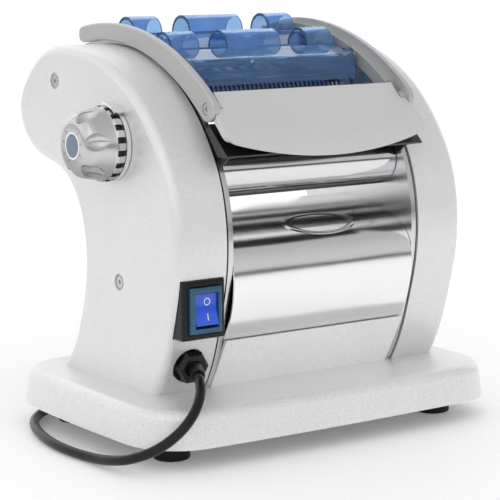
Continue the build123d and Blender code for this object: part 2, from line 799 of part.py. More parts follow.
def scoop_tool(angle):
    """A pointed spindle that lies along the dome's slope and leaves a leaf-shaped finger scoop."""
    half = scoop_length / 2
    leaf = make_face([ThreePointArc((-half, 0), (0, scoop_r), (half, 0)), Line((half, 0), (-half, 0))])
    spindle = Rot(0, -scoop_slope, 0) * revolve(leaf, Axis.X)
    reach, out = scoop_place
    spindle = Pos(machine_x - dial_face_x() - out, 0, reach) * spindle
    return Pos(0, *dial_axis) * Rot(angle, 0, 0) * spindle


def machine_side(distance):
    """X of a distance out of the left housing's side face, measured from the stand's middle."""
    return dial_face_x() + distance - machine_x


def make_dial_ring():
    low = dial_face_x()
    ring = disc(dial_axis, dial_rim_r - 0.6, -low, -(low + dial_ring_depth))
    return ring - disc(dial_axis, dial_shaft_r, -low, -(low + 20))


def make_knob_cap():
    high = dial_face_x() + dial_depth
    return disc(dial_axis, dial_cap_r, -(high - dial_cap_depth), -high)


def make_dial_pointer():
    """A bent strip that stands out of the housing over the knob's rim and marks the setting."""
    inner = dial_rim_r + pointer_gap
    outer = inner + pointer_sheet
    ring = Pos(*dial_axis) * (Circle(outer) - Circle(inner))
    first = along(dial_axis, 2 * outer, pointer_angle - pointer_sweep / 2)
    last = along(dial_axis, 2 * outer, pointer_angle + pointer_sweep / 2)
    wedge = make_face(Polyline(dial_axis, first, last, close=True))
    return slab(ring & wedge, -housing_outer, -(housing_outer + pointer_reach))


# ================================================================ cutters
def cutter_bar(place, pitch, starts_with_ring, right_to):
    """A roller with square rings; its partner's rings run in its grooves."""
    ring_width = pitch / 2 - cutter_side_play
    bar = disc(place, cutter_groove_r, -inner_half + roller_end_gap, inner_half - roller_end_gap)
    count = int(2 * cutter_half / pitch)
    start = -count * pitch / 2 + (0 if starts_with_ring else pitch / 2)
    for ring in range(count):
        x = start + ring * pitch
        bar += disc(place, cutter_ring_r, x, x + ring_width)
    return bar + disc(place, cutter_journal_r, -plate_outer - 1.4, right_to)


def make_cutter_bushes():
    bushes = []
    for place in cutter_axes:
        for side in (-1, 1):
            sleeve = disc(place, cutter_journal_r + bush_wall, side * inner_half, side * plate_outer)
            hole = disc(place, cutter_journal_r + running_gap, side * (inner_half - 1),
                        side * (plate_outer + 1))
            bushes.append(sleeve - hole)
    return bushes


def make_combs():
    """Stripper strips under each cutter pair."""
    strips = []
    for front, rear in ((narrow_front_axis, narrow_rear_axis), (wide_front_axis, wide_rear_axis)):
        low = front[1] - cutter_ring_r - 3
        for y in (front[0] - 4, rear[0] + 4):
            strips.append(block(y - 4, y + 4, low, low + comb_thickness, -inner_half, inner_half))
    return strips


# ================================================================ drive gears
def make_gears():
    """Every gear and pinion, each in mesh with its neighbour at rest."""
    gears = {}
    drive = (front_axis, drive_teeth, 0.0)
    gears["roller_drive_gear"] = gear(*drive, journal_r, -left_gear_x - gear_width, gear_width)
    idler_phase = meshing_phase(*drive, idler_axis, idler_teeth)
    gears["drive_idler"] = gear(idler_axis, idler_teeth, idler_phase, idler_pin_r + running_gap,
                                -left_gear_x - gear_width, gear_width)
    pinion_phase = meshing_phase(idler_axis, idler_teeth, idler_phase, motor_axis, pinion_teeth)
    pinion = gear(motor_axis, pinion_teeth, pinion_phase, motor_shaft_r / 2,
                  -left_gear_x - gear_width, gear_width)
    shaft = disc(motor_axis, motor_shaft_r, -left_gear_x - gear_width - 1, -inner_half + 9)
    gears["motor_pinion"] = pinion + shaft

    pair = (front_axis, roller_gear_teeth, 0.0)
    front = gear(*pair, journal_r, pair_gear_x, gear_width, pair_module)
    takeoff = gear(front_axis, takeoff_teeth, 0.0, journal_r, cutter_gear_x, cutter_gear_width)
    hub = disc(front_axis, journal_r + 3, pair_gear_x + gear_width, cutter_gear_x)
    hub -= disc(front_axis, journal_r, pair_gear_x, cutter_gear_x)
    gears["front_roller_gear"] = front + takeoff + hub
    rear_phase = meshing_phase(*pair, rear_axis, roller_gear_teeth)
    gears["rear_roller_gear"] = gear(rear_axis, roller_gear_teeth, rear_phase, journal_r,
                                     pair_gear_x, gear_width, pair_module)

    idler_phase = meshing_phase(front_axis, takeoff_teeth, 0.0, cutter_idler_axis, cutter_idler_teeth)
    gears["cutter_idler"] = gear(cutter_idler_axis, cutter_idler_teeth, idler_phase,
                                 idler_pin_r + running_gap, cutter_gear_x, cutter_gear_width)
    phase = meshing_phase(cutter_idler_axis, cutter_idler_teeth, idler_phase,
                          narrow_front_axis, cutter_gear_teeth)
    long_face = transfer_gear_x + transfer_gear_width - cutter_gear_x
    gears["narrow_front_gear"] = gear(narrow_front_axis, cutter_gear_teeth, phase,
                                      cutter_journal_r, cutter_gear_x, long_face)
    pair_phase = meshing_phase(narrow_front_axis, cutter_gear_teeth, phase,
                               narrow_rear_axis, cutter_gear_teeth)
    gears["narrow_rear_gear"] = gear(narrow_rear_axis, cutter_gear_teeth, pair_phase,
                                     cutter_journal_r, cutter_gear_x, cutter_gear_width)
    transfer_phase = meshing_phase(narrow_front_axis, cutter_gear_teeth, phase,
                                   transfer_axis, transfer_teeth)
    gears["transfer_idler"] = gear(transfer_axis, transfer_teeth, transfer_phase,
                                   idler_pin_r + running_gap, transfer_gear_x, transfer_gear_width)
    phase = meshing_phase(transfer_axis, transfer_teeth, transfer_phase,
                          wide_front_axis, cutter_gear_teeth)
    gears["wide_front_gear"] = gear(wide_front_axis, cutter_gear_teeth, phase,
                                    cutter_journal_r, transfer_gear_x, transfer_gear_width)
    phase = meshing_phase(wide_front_axis, cutter_gear_teeth, phase, wide_rear_axis, cutter_gear_teeth)
    gears["wide_rear_gear"] = gear(wide_rear_axis, cutter_gear_teeth, phase,
                                   cutter_journal_r, transfer_gear_x, transfer_gear_width)
    return gears


def make_idler_pins():
    """Fixed pins: two stand on the side plates, one on the right housing's wall."""
    left = disc(idler_axis, idler_pin_r, -plate_outer, -left_gear_x - gear_width - 1)
    left += disc(idler_axis, idler_pin_r + 2, -plate_outer, -left_gear_x + 0.3)
    middle = disc(cutter_idler_axis, idler_pin_r, plate_outer, cutter_gear_x + cutter_gear_width + 1)
    right = disc(transfer_axis, idler_pin_r, transfer_gear_x - 0.8, cavity_outer)
    right += disc(transfer_axis, idler_pin_r + 2, transfer_gear_x + transfer_gear_width + 0.3, cavity_outer)
    return [left, middle, right]


def make_gearmotor():
    y, z = motor_axis
    half = gear_case / 2
    case = block(y - half, y + half, z - half, z + half, -inner_half, -inner_half + gear_case_length)
    case = fillet(case.edges().filter_by(Axis.X), 6)
    start = -inner_half + gear_case_length
    can = disc(motor_axis, motor_r, start, start + motor_length)
    can = fillet(can.edges(), 3)
    boss = disc(motor_axis, motor_r * 0.6, start + motor_length - 1, start + motor_length + 6)
    case -= disc(motor_axis, motor_shaft_r + running_gap, -inner_half - 1, -inner_half + 10)
    return case + can + boss


def make_motor_saddle():
    y, z = motor_axis
    start = -inner_half + gear_case_length + motor_length / 2 - saddle_width / 2
    saddle = block(y - saddle_depth / 2, y + saddle_depth / 2, base_top, z - saddle_top,
                   start, start + saddle_width)
    return saddle - disc(motor_axis, motor_r + 0.3, start - 1, start + saddle_width + 1)


# ================================================================ covers
def sheet_half():
    return inner_half - side_gap


def make_motor_cover():
    """A thin chrome sheet with a deep front belly; it is open underneath and behind."""
    return slab(bent_face(Spline(*cover_outline), cover_sheet), -sheet_half(), sheet_half())


def make_front_apron():
    top_y, top_z = apron_top
    run = sqrt((top_y - apron_foot_y) ** 2 + (top_z - base_top) ** 2)
    shift = apron_thickness * run / (top_z - base_top)
    face = make_face(Polyline((apron_foot_y, base_top), apron_top, (top_y + shift, top_z),
                              (apron_foot_y + shift, base_top), close=True))
    return slab(face, -sheet_half(), sheet_half())


def make_rear_cover():
    return slab(sheet_face(rear_cover_path, rear_sheet), -sheet_half(), sheet_half())


def make_rear_hood():
    return slab(sheet_face(rear_hood_path, rear_sheet), -sheet_half(), sheet_half())


def hood_silhouette():
    """The hood seen from the front: straight sides, round corners and a smiling lower edge."""
    rise = hood_end_z - hood_middle_z
    smile_r = (hood_half ** 2 + rise ** 2) / (2 * rise)
    smile = Pos(machine_x, hood_middle_z + smile_r) * Circle(smile_r)
    strip = Pos(machine_x, hood_middle_z + hood_half / 2) * Rectangle(2 * hood_half, hood_half)
    face = smile & strip
    corners = [v for v in face.vertices() if v.Y < hood_end_z + hood_corner]
    return fillet(corners, hood_corner)


def make_front_hood():
    """The sloping lip before the rollers, narrower between the rails, with turned-back sides."""
    curve = Spline(*hood_path)
    hood = slab(bent_face(curve, -hood_thickness), -hood_half, hood_half)
    for side in (-1, 1):
        hood += slab(bent_face(curve, -hood_flange_depth), side * (hood_half - hood_flange), side * hood_half)
    hood = hood & extrude(Plane.XZ * hood_silhouette(), past_all)
    hinge_y, hinge_z = hinge
    between = rail_half - hood_gap
    for side in (-1, 1):
        hood -= block(-past_all, 0, hinge_z, past_all, side * between, side * (hood_half + 5))
        hood -= disc(hinge, rail_end_r + hood_gap, side * (rail_outer - rail_wall - hood_gap),
                     side * (hood_half + 5))
        hood -= disc(hinge, pin_r + pin_boss + hood_gap, side * between, side * (hood_half + 5))
        ear = Pos(*hinge) * Circle(pin_r + 1.2)
        web = make_face(Polyline((hinge_y - 6.5, hinge_z - 2.4), (hinge_y + 4, hinge_z + 3.5),
                                 (hinge_y + 4, hinge_z - 6), (hinge_y - 6.5, hinge_z - 6), close=True))
        hood += slab(ear + web, side * (between - ear_width), side * between)
        hood -= disc(hinge, pin_r, side * (between - ear_width - 1), side * (between + 1))
    return hood


def make_hood_bracket(hood):
    """The dark sheet behind the hood: turned-back ends, and a tab fixed inside each side plate."""
    bracket = slab(sheet_face(bracket_path, bracket_sheet), -bracket_half, bracket_half)
    for side in (-1, 1):
        bracket -= block(-past_all, 0, bracket_top_z, past_all,
                         side * (rail_half - hood_gap - ear_width - 0.7), side * (hood_half + 5))
        end = make_face(Polyline(*bracket_side, close=True))
        bracket += slab(end, side * (bracket_half - bracket_sheet), side * bracket_half)
        tab = make_face(Polyline(*bracket_tab, close=True))
        bracket += slab(tab, side * (inner_half - bracket_sheet), side * inner_half)
    return bracket - hood


# ================================================================ switch
def surround_box(extra):
    """The switch housing's block, through the wall of the left housing."""
    box = block(surround_front - extra, -58, switch_z - surround_height / 2 - extra,
                switch_z + surround_height / 2 + extra,
                switch_x - machine_x - surround_width / 2 - extra,
                switch_x - machine_x + surround_width / 2 + extra)
    return box


def window(width, height, y_from, y_to):
    x = switch_x - machine_x
    return block(y_from, y_to, switch_z - height / 2, switch_z + height / 2, x - width / 2, x + width / 2)


def make_switch_surround():
    box = surround_box(0)
    front = box.faces().sort_by(Axis.Y)[0]
    box = fillet(front.edges(), surround_edge)
    return box - window(bezel_width, bezel_height, surround_front - 5, -64)


def make_switch_bezel():
    proud = surround_front - bezel_proud
    frame = window(bezel_width, bezel_height, proud, -66)
    frame = fillet(frame.faces().sort_by(Axis.Y)[0].edges(), 2)
    frame -= window(rocker_width + 2 * rocker_clearance, rocker_height + 2 * rocker_clearance,
                    proud - 5, -68)
    return frame - rocker_pins(running_gap, rocker_pin_length + 0.2)


def rocker_pins(extra, length):
    """The rocker's two round pins, or with some extra the holes for them."""
    x = switch_x - machine_x
    reach = rocker_width / 2 + rocker_clearance + length
    return disc(rocker_axis(), rocker_pin_r + extra, x - reach, x + reach)


def rocker_axis():
    return (surround_front + rocker_set_back, switch_z)


def make_switch_rocker():
    """A paddle that leans back at its top while the switch is off."""
    half = rocker_height / 2 - 0.8
    face = make_face(Polyline((-6.8, half), (-5.2, 0), (-6.8, -half), (3.0, -half * 0.7),
                              (5.0, 0), (3.0, half * 0.7), close=True))
    face = Pos(*rocker_axis()) * Rot(0, 0, -rocker_rest_tilt) * face
    x = switch_x - machine_x
    paddle = slab(face, x - rocker_width / 2, x + rocker_width / 2)
    return paddle + rocker_pins(0, rocker_pin_length)


# ================================================================ cord
def gland_bar(radius, y_from, y_to):
    bar = Plane.XZ * Circle(radius)
    return Pos(gland_x, y_to, gland_z) * extrude(bar, y_to - y_from)


def make_cord_gland():
    nut = extrude(Plane.XZ * RegularPolygon(gland_across / 2, 6, major_radius=False), 11)
    nut = Pos(gland_x, gland_front_y + 11, gland_z) * nut
    nut = chamfer(nut.faces().sort_by(Axis.Y)[0].edges(), 2)
    neck = gland_bar(gland_neck_r, gland_front_y + 10, gland_seat_y + 11)
    collar = gland_bar(gland_seat_r - 0.4, gland_front_y + 10, gland_seat_y)
    return nut + neck + collar - relief_cone(0) - cord_tube()


def relief_cone(extra):
    """The tapered sleeve round the cord where it leaves the gland."""
    start = Vector(*cord_points[0])
    way = (Vector(*cord_points[1]) - start).normalized()
    plane = Plane(start - way * 6, z_dir=way)
    sleeve = loft([plane * Circle(6.2 + extra), plane.offset(6 + relief_length * 0.7) * Circle(cord_d / 2 + 1)])
    return sleeve


def make_cord_sleeve():
    return relief_cone(0) - cord_tube()


def route_turns(points):
    """The turn at each inner point of a route, with the shorter of its two runs."""
    turns = []
    for before, here, after in zip(points, points[1:], points[2:]):
        arriving = Vector(*here) - Vector(*before)
        leaving = Vector(*after) - Vector(*here)
        turns.append((arriving.get_angle(leaving), min(arriving.length, leaving.length)))
    return turns


def route_radii(points):
    """Tangent arcs as large as the runs at each point allow."""
    return [0.45 * run / tan(radians(turn) / 2) for turn, run in route_turns(points)]


def cord_path():
    return FilletPolyline(*cord_points, radius=route_radii(cord_points))


def cord_tube():
    path = cord_path()
    section = Plane(path @ 0, z_dir=path % 0) * Circle(cord_d / 2)
    return sweep(section, path=path)


def coil_centre():
    """The cord's last run meets the coil's outer turn at a tangent."""
    before = Vector(*cord_points[-2])
    last = Vector(*cord_points[-1])
    way = (last - before).normalized()
    reach = coil_outer_r - cord_d / 2
    return (last.X - way.Y * reach, last.Y + way.X * reach)


def make_cord_coil():
    ring = Cylinder(coil_outer_r, coil_height) - Cylinder(coil_inner_r, coil_height + 2)
    top = ring.faces().sort_by(Axis.Z)[-1]
    ring = fillet(top.edges(), 5)
    return Pos(*coil_centre(), coil_height / 2) * ring - cord_tube()


def make_mains_plug():
    """A flat two-pin plug that lies on the floor with its nose against the coil."""
    body = Box(plug_length, plug_width, plug_thickness)
    body = fillet(body.edges().filter_by(Axis.X), 5)
    nose = Pos(-plug_length / 2 - plug_nose / 2, 0, 0) * Rot(0, 90, 0) * Cylinder(5, plug_nose)
    body += nose
    for y in (-plug_pin_spacing / 2, plug_pin_spacing / 2):
        pin = Pos(plug_length / 2 + plug_pin_length / 2, y, 0) * Rot(0, 90, 0) * Cylinder(
            plug_pin_r, plug_pin_length)
        body += pin
    reach = coil_outer_r + plug_nose + plug_length / 2
    x, y = coil_centre()
    return Pos(x + reach, y, plug_thickness / 2) * body


# ================================================================ all pieces
def make_pieces():
    pieces = {
        "base_shell": make_base_shell(), "base_plate": make_base_plate(),
        "rubber_feet": make_feet(), "foot_screws": make_foot_screws(),
        "left_side_plate": make_side_plate(-1), "right_side_plate": make_side_plate(1),
        "plate_gaskets": make_gaskets(), "tie_rods": make_tie_rods(),
        "left_housing": make_left_housing(), "right_housing": make_housing(1, right_screws),
        "housing_screws": make_housing_screws(),
        "motor_cover": make_motor_cover(), "front_apron": make_front_apron(),
        "rear_cover": make_rear_cover(), "rear_hood": make_rear_hood(),
        "front_hood": make_front_hood(),
        "left_rail": make_rail(-1), "right_rail": make_rail(1),
        "finger_guard": make_finger_guard(), "guard_screws": make_guard_screws(),
        "pivot_screws": make_pivot_screws(),
        "front_roller": make_front_roller(), "rear_roller": make_rear_roller(),
        "roller_bushes": make_roller_bushes(), "roller_carriers": make_carriers(),
        "roller_scrapers": make_scrapers(),
        "adjuster_shaft": make_adjuster_shaft(), "dial_knob": make_dial_knob(),
        "dial_ring": make_dial_ring(), "knob_cap": make_knob_cap(),
        "dial_pointer": make_dial_pointer(),
        "cutter_bushes": make_cutter_bushes(), "cutter_combs": make_combs(),
        "idler_pins": make_idler_pins(), "gearmotor": make_gearmotor(),
        "motor_saddle": make_motor_saddle(),
        "switch_surround": make_switch_surround(), "switch_bezel": make_switch_bezel(),
        "switch_rocker": make_switch_rocker(),
        "cord_gland": make_cord_gland(), "cord_sleeve": make_cord_sleeve(),
        "power_cord": cord_tube(), "cord_coil": make_cord_coil(),
        "mains_plug": make_mains_plug()}
    pieces["hood_bracket"] = make_hood_bracket(pieces["front_hood"])
    narrow_end = transfer_gear_x + transfer_gear_width + 1
    short_end = cutter_gear_x + cutter_gear_width + 0.5
    cutters = (("narrow_cutter_front", narrow_front_axis, narrow_pitch, True, narrow_end),
               ("narrow_cutter_rear", narrow_rear_axis, narrow_pitch, False, short_end),
               ("wide_cutter_front", wide_front_axis, wide_pitch, True, narrow_end),
               ("wide_cutter_rear", wide_rear_axis, wide_pitch, False, narrow_end))
    for name, place, pitch, first, end in cutters:
        pieces[name] = cutter_bar(place, pitch, first, end)
    pieces.update(make_gears())
    return pieces


cord_nodes = ["power_cord", "cord_coil", "mains_plug"]


def solids_of(piece):
    """All solids of a piece, whether it is one shape or a list of them."""
    shapes = piece if isinstance(piece, list) else [piece]
    return [solid for shape in shapes for solid in shape.solids()]


def finish_part():
    """Move the machine so that its box stands centred over the origin, and write the files."""
    pieces = {name: solids_of(piece) for name, piece in make_pieces().items()}
    machine = [solid for name, solids in pieces.items() if name not in cord_nodes for solid in solids]
    box = Compound(machine).bounding_box()
    shift = Location((-(box.min.X + box.max.X) / 2, -(box.min.Y + box.max.Y) / 2, -box.min.Z))
    print("moved by", shift.position, "machine box", box.size)
    os.makedirs("parts", exist_ok=True)
    for name, solids in pieces.items():
        moved = [solid.moved(shift) for solid in solids]
        export_step(moved[0] if len(moved) == 1 else Compound(moved), "parts/" + name + ".step")
        if len(moved) > 1:
            print(name, "solids", len(moved))


def print_facts():
    radii = route_radii(cord_points)
    print("cord radii", [round(radius, 1) for radius in radii])
    path = cord_path()
    print("coil centre", [round(value, 1) for value in coil_centre()])
    print("cord length", round(path.length, 1), "tube volume", round(cord_tube().volume),
          "section times length", round(pi * cord_d ** 2 / 4 * path.length))
    for name, place in (("front roller", front_axis), ("rear roller", rear_axis),
                        ("dial", dial_axis), ("hinge", hinge),
                        ("drive idler", idler_axis), ("motor", motor_axis),
                        ("cutter idler", cutter_idler_axis), ("narrow front", narrow_front_axis),
                        ("narrow rear", narrow_rear_axis), ("transfer", transfer_axis),
                        ("wide front", wide_front_axis), ("wide rear", wide_rear_axis),
                        ("rocker", rocker_axis())):
        print(name, "Y, Z", round(place[0], 3), round(place[1], 3))


print_facts()
finish_part()
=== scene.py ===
# %% [markdown]
# An electric pasta maker: two curved side housings on a heavy cast stand, a chrome cover over
# the motor, smooth rollers under a sloping hood, and a clear blue finger guard over the cutters.
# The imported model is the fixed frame. Every piece below is placed from it, in metres, with X to
# the right, Y to the back and Z up.

# %% Load the frame
import bmesh
import bpy
import json
from math import cos, pi, radians, sin, sqrt
from mathutils import Matrix, Vector
from mathutils.bvhtree import BVHTree


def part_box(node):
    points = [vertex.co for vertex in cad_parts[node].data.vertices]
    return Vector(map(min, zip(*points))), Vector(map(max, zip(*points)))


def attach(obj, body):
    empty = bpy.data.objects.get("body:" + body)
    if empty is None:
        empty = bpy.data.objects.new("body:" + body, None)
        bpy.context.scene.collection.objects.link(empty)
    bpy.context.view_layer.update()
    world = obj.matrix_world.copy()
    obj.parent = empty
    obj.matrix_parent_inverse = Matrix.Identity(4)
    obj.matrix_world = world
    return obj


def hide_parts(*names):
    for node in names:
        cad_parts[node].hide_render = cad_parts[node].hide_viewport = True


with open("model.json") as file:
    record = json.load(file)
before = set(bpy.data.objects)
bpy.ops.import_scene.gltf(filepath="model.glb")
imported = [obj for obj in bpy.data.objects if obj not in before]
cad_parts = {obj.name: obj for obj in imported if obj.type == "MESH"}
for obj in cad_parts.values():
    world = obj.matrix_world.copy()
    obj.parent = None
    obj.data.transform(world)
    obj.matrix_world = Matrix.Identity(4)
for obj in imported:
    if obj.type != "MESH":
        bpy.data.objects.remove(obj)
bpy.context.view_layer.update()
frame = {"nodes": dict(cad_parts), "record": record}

nodes = frame["nodes"]
record = frame["record"]
bodies = record["behaviour"]["bodies"]
body_of = {node: body for body, members in bodies.items() for node in members}
slot_of = {part["node"]: part["material_slot"] for part in record["subparts"]}
scene = bpy.context.scene

# %% [markdown]
# The camera comes first, because everything is judged through it. It stands low, in front of the
# dial side, and looks slightly down with a long lens, so the two housings stay nearly parallel.
# A shorter lens from nearer would make the near housing look too large beside the far one.

# %% Camera
view_turn = radians(35.13)
camera = bpy.data.objects.new("camera", bpy.data.cameras.new("camera"))
scene.collection.objects.link(camera)
scene.camera = camera
camera.data.sensor_width = 36
camera.data.lens = 138.1
camera.data.clip_end = 30
camera.location = (-0.8153, -1.1673, 0.3540)
camera.rotation_euler = (radians(90 - 9.17), radians(0.06), -view_turn)
print("camera at", tuple(camera.location))

# %% [markdown]
# The studio is a pale floor that curves up behind the object, so that no corner shows between
# floor and wall. It could be two planes, but a bend hides the join. One edge is carried forward,
# spun a quarter turn and carried up.

# %% Floor and backdrop
floor_near = -3.2
floor_far = 2.2
floor_half_width = 4
floor_bend = 1.2
bend_steps = 12
wall_height = 2.5
floor_gap = 0.0002


def new_piece(name, mesh_maker):
    """A mesh object whose place is in its mesh; mesh_maker fills a bmesh."""
    bm = bmesh.new()
    mesh_maker(bm)
    mesh = bpy.data.meshes.new(name)
    bm.to_mesh(mesh)
    bm.free()
    piece = bpy.data.objects.new(name, mesh)
    scene.collection.objects.link(piece)
    return piece


def carried(bm, edges, move):
    """New edges, carried away from the old ones, with faces between them."""
    strip = bmesh.ops.extrude_edge_only(bm, edges=edges)["geom"]
    verts = [item for item in strip if isinstance(item, bmesh.types.BMVert)]
    bmesh.ops.translate(bm, verts=verts, vec=move)
    return [item for item in strip if isinstance(item, bmesh.types.BMEdge)
            and all(vertex in verts for vertex in item.verts)]


def sweep_floor(bm):
    """A strip of floor, with a large round bend up into a wall."""
    forward = Vector((sin(view_turn), cos(view_turn), 0))
    across = Vector((forward.y, -forward.x, 0))
    sides = (-floor_half_width, floor_half_width)
    ends = [bm.verts.new(forward * floor_near + across * side) for side in sides]
    edges = carried(bm, [bm.edges.new(ends)], forward * (floor_far - floor_near))
    bend = bmesh.ops.spin(bm, geom=edges, axis=across, angle=radians(90), steps=bend_steps,
                          cent=forward * floor_far + Vector((0, 0, floor_bend)))
    last = [item for item in bend["geom_last"] if isinstance(item, bmesh.types.BMEdge)]
    carried(bm, last, Vector((0, 0, wall_height)))
    bmesh.ops.recalc_face_normals(bm, faces=bm.faces)
    for face in bm.faces:
        face.smooth = True


floor = new_piece("studio_floor", sweep_floor)
floor.location.z = -floor_gap
print("floor faces", len(floor.data.polygons))

# %% [markdown]
# Materials are written as shader maths. A shader could be wired by hand, link by link, but then
# a mask takes ten lines. Sock wraps one output of a node, so that masks can be added and
# multiplied like numbers.

# %% Shader maths
class Sock:
    """One output socket; arithmetic on it adds Math nodes."""

    def __init__(self, tree, socket):
        self.tree = tree
        self.socket = socket

    def node_of(self, operation, *values, clamp=False):
        """A Math node on the given values or links."""
        node = self.tree.nodes.new("ShaderNodeMath")
        node.operation = operation
        node.use_clamp = clamp
        for place, value in zip(node.inputs, values):
            join(self.tree, value, place)
        return Sock(self.tree, node.outputs[0])

    def maths(self, operation, *others):
        """A Math node whose first value is this output."""
        return self.node_of(operation, self, *others)

    def __add__(self, other):
        return self.node_of("ADD", self, other)

    def __radd__(self, other):
        return self.node_of("ADD", other, self)

    def __sub__(self, other):
        return self.node_of("SUBTRACT", self, other)

    def __rsub__(self, other):
        return self.node_of("SUBTRACT", other, self)

    def __mul__(self, other):
        return self.node_of("MULTIPLY", self, other)

    def __rmul__(self, other):
        return self.node_of("MULTIPLY", other, self)

    def clamped(self):
        return self.node_of("ADD", self, 0.0, clamp=True)


def join(tree, value, place):
    """A link where the value is an output, and otherwise the plain value."""
    if isinstance(value, Sock):
        tree.links.new(value.socket, place)
    else:
        place.default_value = value


print("shader maths ready")

# %% [markdown]
# Finish holds one material with its single shader. Its node method makes any other node by the
# names of its sockets, and the rest are the few patterns that every finish here is made from.

# %% Finishes
coordinate_output = {"direction": 0, "object": 3}
ray_output = {"camera": 0, "glossy": 3, "transmission": 6}
axis_output = {"x": 0, "y": 1, "z": 2}


class Finish:
    """A material with one Principled shader."""

    def __init__(self, name, **shader):
        self.material = bpy.data.materials.new(name)
        self.material.use_nodes = True
        self.tree = self.material.node_tree
        self.shader = self.tree.nodes["Principled BSDF"]
        for key, value in shader.items():
            self.shader.inputs[key.replace("_", " ")].default_value = value

    def node(self, kind, settings=None, output=0, **sockets):
        """A node of a kind, its settings first, then the values or links of its sockets."""
        node = self.tree.nodes.new("ShaderNode" + kind)
        for key, value in (settings or {}).items():
            setattr(node, key, value)
        for key, value in sockets.items():
            name = key.replace("_", " ")
            join(self.tree, value, next(s for s in node.inputs if s.name == name and s.enabled))
        return Sock(self.tree, node.outputs[output])

    def place(self, scale=(1, 1, 1), turn=(0, 0, 0), move=(0, 0, 0)):
        """Object coordinates, scaled, turned and moved."""
        coordinates = self.node("TexCoord", output=coordinate_output["object"])
        return self.node("Mapping", Vector=coordinates, Scale=scale, Rotation=turn, Location=move)

    def axis(self, letter, vector):
        """One of the three numbers of a vector."""
        return self.node("SeparateXYZ", output=axis_output[letter], Vector=vector)

    def ray(self, kind):
        """1 for rays of a kind, 0 for the others."""
        return self.node("LightPath", output=ray_output[kind])

    def noise(self, size, detail=3.0, vector=None):
        """Soft noise with features about size metres across, from 0 to 1."""
        return self.node("TexNoise", Vector=vector or self.place(), Scale=1 / size, Detail=detail)

    def step(self, value, low, high, **to):
        """A smooth step from 0 to 1, or as to says, while value goes from low to high."""
        return self.node("MapRange", {"interpolation_type": "SMOOTHSTEP"}, Value=value,
                         From_Min=low, From_Max=high, **to)

    def mix(self, mask, low, high):
        """A colour between two colours by a mask."""
        return self.node("Mix", {"data_type": "RGBA"}, output=2, Factor=mask, A=low, B=high)

    def feed(self, socket, value):
        """A link into the shader."""
        self.tree.links.new(value.socket, self.shader.inputs[socket])

    def bump(self, height, strength, distance):
        """A bump from a height, fed to the shader's normal."""
        self.feed("Normal", self.node("Bump", Height=height, Strength=strength, Distance=distance))


def grey(value):
    """A grey as a colour."""
    return (value, value, value, 1)


def darker(colour, share):
    """A colour with a share of its light."""
    return tuple(part * share for part in colour[:3]) + (1,)


print("finishes ready")

# %% [markdown]
# The stand and the housings are cast metal with a silver spray coat. Seen close it is a fine
# grain of flakes that sparkle a little; seen from far it is a satin grey. A fine noise drives
# the bump and the roughness, and a slow one lightens and darkens the colour by a few percent.
# Half metal and half paint is closer to such a coat than bare metal, which turns too dark.

# %% Silver coats
def silver_coat(name, light, dark, grain=0.0007, depth=0.25, rough=0.36, metal=0.5):
    """A sprayed silver whose flakes lie between a light and a dark grey."""
    coat = Finish(name, Metallic=metal)
    fine = coat.noise(grain, detail=2.0)
    wide = coat.noise(0.05, detail=2.0)
    sparkle = (fine - 0.5) * 2.4 + 0.5
    mask = (sparkle * 0.7 + wide * 0.3).clamped()
    coat.feed("Base Color", coat.mix(mask, grey(dark), grey(light)))
    coat.feed("Roughness", rough + fine * 0.12)
    coat.bump(fine, strength=depth, distance=0.0002)
    return coat.material


housing_silver = silver_coat("housing_silver", 0.86, 0.66, depth=0.2)
stand_silver = silver_coat("stand_silver", 0.90, 0.68, grain=0.0010)
apron_silver = silver_coat("apron_silver", 0.92, 0.74, grain=0.0012, depth=0.4, metal=0.15)
hood_silver = silver_coat("hood_silver", 0.75, 0.59, grain=0.0005, depth=0.08)
rail_silver = silver_coat("rail_silver", 0.56, 0.44, grain=0.0005, depth=0.1)
print("silver coats", [coat.name for coat in (housing_silver, stand_silver, apron_silver,
                                              hood_silver, rail_silver)])

# %% [markdown]
# Chrome and ground steel are bare metal: full metallic, with the roughness doing the work. Fine
# straight scratches run round the rollers and along the polished edges of the side plates. They
# are one noise, stretched by its scale, because real grooves would be far too small to model.

# %% Bare metals
def bare_metal(name, colour, rough, streak=None):
    """A bare metal; streak stretches a noise into fine scratches."""
    metal = Finish(name, Metallic=1.0)
    wide = metal.noise(0.03)
    metal.feed("Base Color", metal.mix(wide, darker(colour, 0.96), colour))
    metal.feed("Roughness", wide * 0.03 + rough)
    if streak:
        lines = metal.noise(1.0, detail=2.0, vector=metal.place(scale=streak))
        metal.bump(lines, strength=0.05, distance=0.0001)
    return metal.material


mirror_chrome = bare_metal("mirror_chrome", (0.86, 0.86, 0.87, 1), 0.03)
cover_chrome = bare_metal("cover_chrome", (0.95, 0.95, 0.955, 1), 0.15)
ground_steel = bare_metal("ground_steel", (0.80, 0.80, 0.81, 1), 0.12, streak=(6000, 40, 40))
plate_steel = bare_metal("plate_steel", (0.74, 0.74, 0.75, 1), 0.22, streak=(60, 60, 4000))
screw_steel = bare_metal("screw_steel", (0.62, 0.62, 0.63, 1), 0.25)
dark_steel = bare_metal("dark_steel", (0.10, 0.10, 0.105, 1), 0.32)
# The cutters' steel is painted darker than the other steels, as the shade that falls on them under
# the guard.
shaded_cutter_metal = bare_metal("shaded_cutter_metal", (0.36, 0.37, 0.38, 1), 0.24, streak=(5000, 60, 60))
print("bare metals", mirror_chrome.name, ground_steel.name, shaded_cutter_metal.name)

# %% [markdown]
# Plastics and rubber have no metal in them. The switch's surround, the gland and the plug are
# black moulded plastic with a faint grain, the gears are cream plastic, and the feet are dull
# rubber. The rocker and the knob's cap are glossier, so they get a clear coat.

